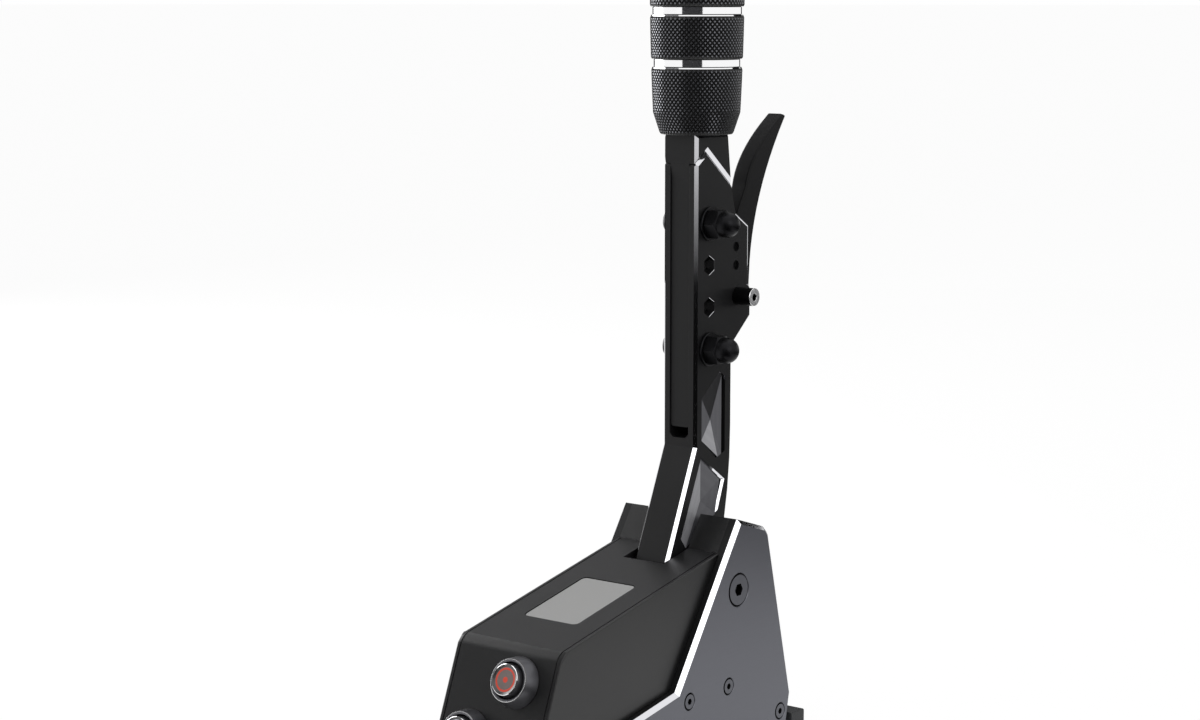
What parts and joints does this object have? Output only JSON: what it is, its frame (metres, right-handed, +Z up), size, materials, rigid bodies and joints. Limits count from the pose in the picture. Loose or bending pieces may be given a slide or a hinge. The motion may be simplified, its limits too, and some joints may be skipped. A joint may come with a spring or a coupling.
{
  "type": "sim racing shifter lever",
  "caption": "Upright racing-simulator lever with a knurled grip, finger trigger and sprung pull and push, on a bolt-down base with a display and lit push buttons.",
  "frame": {"origin": "middle of the bolt pattern, on the underside of the base plate", "axes": "+Z up along the lever, +X across the unit to the driver's right, -Y towards the driver"},
  "size_m": [0.0534, 0.1782, 0.3304],
  "materials": {
    "anodised_black": "machined, black anodised, satin",
    "knurled_black": "knurled, black anodised, matte",
    "side_plate_grey": "dark grey anodised, bright chamfers",
    "moulded_black": "moulded, fine grain",
    "base_black": "black powder coat",
    "black_steel": "black oxide",
    "bright_steel": "turned",
    "spring_steel": "drawn wire",
    "bright_ring": "polished",
    "plain_aluminium": "turned",
    "bronze": "turned",
    "insert_grey": "milled facets, grey anodised",
    "display_glass": "gloss, blank",
    "circuit_board": "satin lacquer",
    "button_black": "moulded, gloss rim",
    "button_red": "translucent, lit",
    "button_white": "translucent, lit"
  },
  "bodies": {
    "base": {"left_side_plate": "side_plate_grey", "right_side_plate": "side_plate_grey", "housing": "moulded_black", "rear_panel": "moulded_black", "guide_block": "moulded_black", "base_plate": "base_black", "plate_screws": "black_steel", "base_screws": "black_steel", "axle_screws": "black_steel", "guide_screws": "black_steel", "board_screws": "black_steel", "sensor_screws": "black_steel", "pivot_axle": "bright_steel", "axle_spacers": "bright_steel", "inlet_socket": "bright_steel", "upper_button_nut": "bright_steel", "lower_button_nut": "bright_steel", "pull_spring": "spring_steel", "push_spring": "spring_steel", "board_spacers": "bronze", "display_lens": "display_glass", "main_board": "circuit_board", "sensor_board": "circuit_board", "display_module": "circuit_board", "upper_button_body": "button_black", "lower_button_body": "button_black"},
    "lever": {"pivot_bushes": "bronze", "lever_body": "anodised_black", "upper_inserts": "insert_grey", "lower_inserts": "insert_grey", "grip_stem": "anodised_black", "clamp_bolts": "black_steel", "clamp_washers": "black_steel", "acorn_nuts": "black_steel", "grip_foot_sleeve": "knurled_black", "grip_sleeve_1": "knurled_black", "grip_sleeve_2": "knurled_black", "grip_sleeve_3": "knurled_black", "grip_sleeve_4": "knurled_black", "grip_cap": "knurled_black", "grip_rings": "bright_ring", "grip_core": "plain_aluminium", "trigger_pin": "bright_steel", "trigger_spring": "spring_steel", "stop_pins": "black_steel", "tail_pin": "bright_steel", "sensor_magnet": "bright_steel"},
    "rod": {"pull_rod": "bright_steel", "rod_washer": "bright_steel", "rod_nut": "bright_steel"},
    "trigger": {"trigger": "anodised_black"},
    "upper_button": {"upper_button_cap": "button_red"},
    "lower_button": {"lower_button_cap": "button_white"}
  },
  "joints": [
    {"name": "lever_hinge", "type": "hinge", "parent": "base", "child": "lever", "pos_m": [0, 0.0343, 0.06], "axis": [1, 0, 0], "range_deg": [-8, 16], "stiffness_Nm_per_rad": 14},
    {"name": "rod_slide", "type": "slide", "parent": "base", "child": "rod", "axis": [0, 1, 0], "range_m": [-0.00395, 0.00785], "deforming": ["pull_spring", "push_spring"]},
    {"name": "trigger_hinge", "type": "hinge", "parent": "lever", "child": "trigger", "pos_m": [0, 0.0592, 0.1632], "axis": [1, 0, 0], "range_deg": [0, 9], "stiffness_Nm_per_rad": 0.6, "deforming": ["trigger_spring"]},
    {"name": "upper_button_press", "type": "slide", "parent": "base", "child": "upper_button", "axis": [0, 0.9323, -0.3616], "range_m": [0, 0.0015], "stiffness_N_per_m": 500},
    {"name": "lower_button_press", "type": "slide", "parent": "base", "child": "lower_button", "axis": [0, 0.9323, -0.3616], "range_m": [0, 0.0015], "stiffness_N_per_m": 500}
  ],
  "couplings": [
    {"joint": "rod_slide", "follows": "lever_hinge", "m_per_rad": 0.028}
  ]
}
